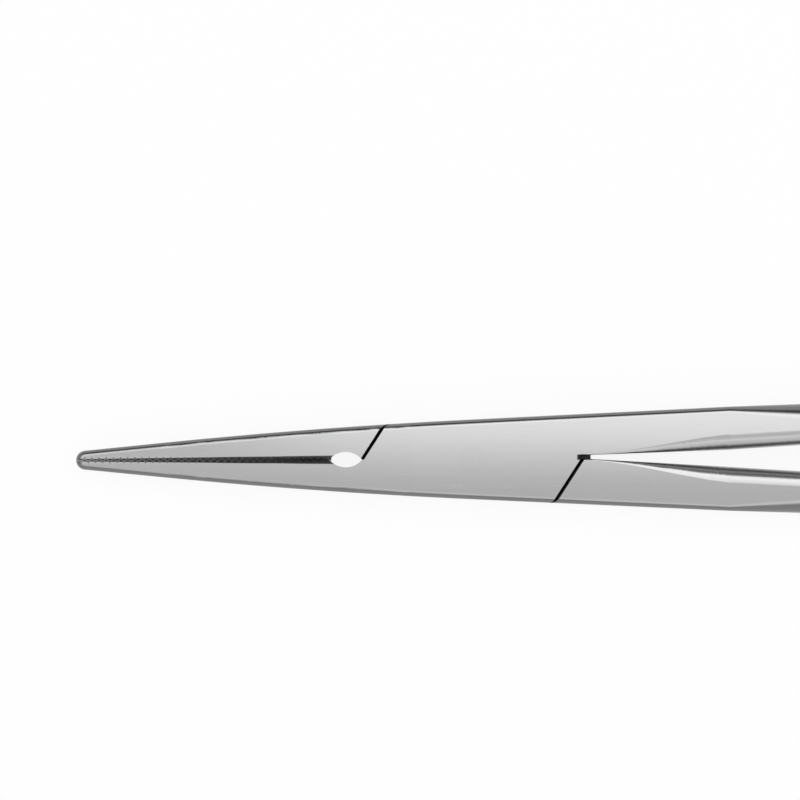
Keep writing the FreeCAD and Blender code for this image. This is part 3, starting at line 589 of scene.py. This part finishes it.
# %% [markdown]
# ## Sweep
#
# A photographer bends the paper up behind the object, so that no edge of it shows. A plane would end
# in a hard horizon in low views. A round sheet whose rim turns up into a low wall looks the same
# from every side. It lies a hair under the steel, so that the two surfaces don't fight for the same
# place.

# %% Rings of the sweep
FLOOR_DROP = 0.00005
SWEEP_RADIUS = 2.0
SWEEP_HEIGHT = 0.35
SWEEP_SIDES = 96
RIM_STEPS = 8


def sweep_profile():
    """Radius and height of each ring, from the edge of the flat up the quarter turn of the rim."""
    profile = []
    for step in range(RIM_STEPS + 1):
        turn = math.radians(90 * step / RIM_STEPS)
        radius = SWEEP_RADIUS - SWEEP_HEIGHT * (1 - math.sin(turn))
        profile.append((radius, SWEEP_HEIGHT * (1 - math.cos(turn)) - FLOOR_DROP))
    return profile


def ring_of_points(mesh, radius, height):
    """One level ring of points round the pin."""
    points = []
    for side in range(SWEEP_SIDES):
        turn = 2 * math.pi * side / SWEEP_SIDES
        points.append(mesh.verts.new((radius * math.cos(turn), radius * math.sin(turn), height)))
    return points


print("rings of the sweep:", len(sweep_profile()))

# %% Sweep of white paper
def make_sweep():
    """A round floor whose rim turns up into a low wall."""
    mesh = bmesh.new()
    rings = [ring_of_points(mesh, radius, height) for radius, height in sweep_profile()]
    mesh.faces.new(rings[0])
    for low, high in zip(rings, rings[1:]):
        for side in range(SWEEP_SIDES):
            after = (side + 1) % SWEEP_SIDES
            mesh.faces.new((low[side], low[after], high[after], high[side]))
    bmesh.ops.recalc_face_normals(mesh, faces=mesh.faces)
    data = bpy.data.meshes.new("sweep")
    mesh.to_mesh(data)
    mesh.free()
    sweep = bpy.data.objects.new("sweep", data)
    bpy.context.scene.collection.objects.link(sweep)
    data.materials.append(paper_material)
    return sweep


sweep = make_sweep()
print("sweep:", len(sweep.data.polygons), "faces")

# %% [markdown]
# ## Softboxes
#
# Steel shows what stands around it, so the lamps are placed by what each face mirrors. One large
# lamp would fill the flat faces with one tone. Three softboxes side by side overhead, bright towards
# the upper edge, middling over the pin and dim towards the lower edge, give them their fall of grey
# as the crown leans from one to the next. Two wings further out do the same for the start of the
# rounded edges. The jaws slope down towards the tip, so they mirror a softbox of their own.

# %% Softboxes over the bench
LAMP_HEIGHT = 0.70
SOFTBOXES = {
    "bright_softbox": {"place": (0.20, 0.175), "size": (0.60, 0.25), "brightness": 1.22},
    "middle_softbox": {"place": (0.20, 0.0), "size": (0.60, 0.10), "brightness": 0.80},
    "dim_softbox": {"place": (0.20, -0.20), "size": (0.60, 0.30), "brightness": 0.44},
    "upper_wing": {"place": (0.0, 0.55), "size": (1.0, 0.50), "brightness": 1.40},
    "lower_wing": {"place": (0.0, -0.575), "size": (1.0, 0.45), "brightness": 0.50},
    "jaw_softbox": {"place": (-0.30, 0.0), "size": (0.40, 0.60), "brightness": 0.42},
}


def softbox(name, place, size, brightness):
    """A rectangular lamp that faces down; brightness is what a mirror would show."""
    data = bpy.data.lights.new(name, "AREA")
    data.shape = "RECTANGLE"
    data.size, data.size_y = size
    data.energy = brightness * math.pi * size[0] * size[1]
    lamp = bpy.data.objects.new(name, data)
    bpy.context.scene.collection.objects.link(lamp)
    lamp.location = (*place, LAMP_HEIGHT)


for name, settings in SOFTBOXES.items():
    softbox(name, **settings)

# %% [markdown]
# ## Room
#
# Around the softboxes stands a dim room. An even grey would leave the sides of the rings and shanks
# dull, and a picture of a real room would bring in things that aren't there. A formula of the
# direction is enough: a little light everywhere, a wide window beyond the tip and another behind the
# rings, and a lighter wall on the near side.

# %% World
WINDOW_LIGHT = 2.6
NEAR_LIGHT = 0.9
ROOM_LIGHT = 0.14


def make_world():
    """A dim room with a window beyond each end and a lighter wall on the near side."""
    world = bpy.data.worlds.new("studio")
    bpy.context.scene.world = world
    world.use_nodes = True
    tree = world.node_tree
    direction = add_node(tree, "ShaderNodeTexCoord").outputs["Generated"]
    axes = add_node(tree, "ShaderNodeSeparateXYZ", {0: direction}).outputs
    ends = maths(tree, "MULTIPLY", axes["X"], axes["X"])
    windows = maths(tree, "MULTIPLY", ends, maths(tree, "MAXIMUM", axes["Z"], 0.0))
    near_side = maths(tree, "MAXIMUM", maths(tree, "MULTIPLY", axes["Y"], -1.0), 0.0)
    near_wall = maths(tree, "MULTIPLY", near_side, near_side)
    strength = maths(tree, "ADD", maths(tree, "MULTIPLY", windows, WINDOW_LIGHT), ROOM_LIGHT)
    strength = maths(tree, "ADD", strength, maths(tree, "MULTIPLY", near_wall, NEAR_LIGHT))
    room = tree.nodes["Background"]
    room.inputs["Color"].default_value = (1.0, 1.0, 1.0, 1.0)
    tree.links.new(strength, room.inputs["Strength"])
    return world


print("world:", make_world().name)

# %% [markdown]
# ## Camera
#
# The picture is taken straight down with a long lens, so nothing is foreshortened. An orthographic
# camera would do that too, but a long lens is what a photographer has. A frame 66.7 mm wide shows
# the jaws, the lock and the start of the shanks.

# %% Camera straight above
FRAME_WIDTH = 0.06667
FRAME_CENTRE = (-0.0060, 0.00497)
ROLL = math.radians(-0.14)
LENS_MM = 250.0
SENSOR_MM = 36.0
NEAREST = 0.01


def make_camera():
    """A long lens that looks straight down at the lock."""
    data = bpy.data.cameras.new("camera")
    data.lens = LENS_MM
    data.sensor_width = SENSOR_MM
    data.clip_start = NEAREST
    camera = bpy.data.objects.new("camera", data)
    bpy.context.scene.collection.objects.link(camera)
    height = solid_box[1].z + FRAME_WIDTH / SENSOR_MM * LENS_MM
    turned = Matrix.Rotation(ROLL, 4, "Z")
    camera.matrix_world = Matrix.Translation((*FRAME_CENTRE, height)) @ turned
    bpy.context.scene.camera = camera
    return camera


camera = make_camera()
print("camera height, mm:", round(camera.location.z * MM_IN_A_METRE, 1))

# %% [markdown]
# ## Finish
#
# The Standard view transform shows a colour as it is written, which suits a white ground better than
# a film-like one.

# %% Picture settings
bpy.context.scene.view_settings.view_transform = "Standard"
print("view transform:", bpy.context.scene.view_settings.view_transform)
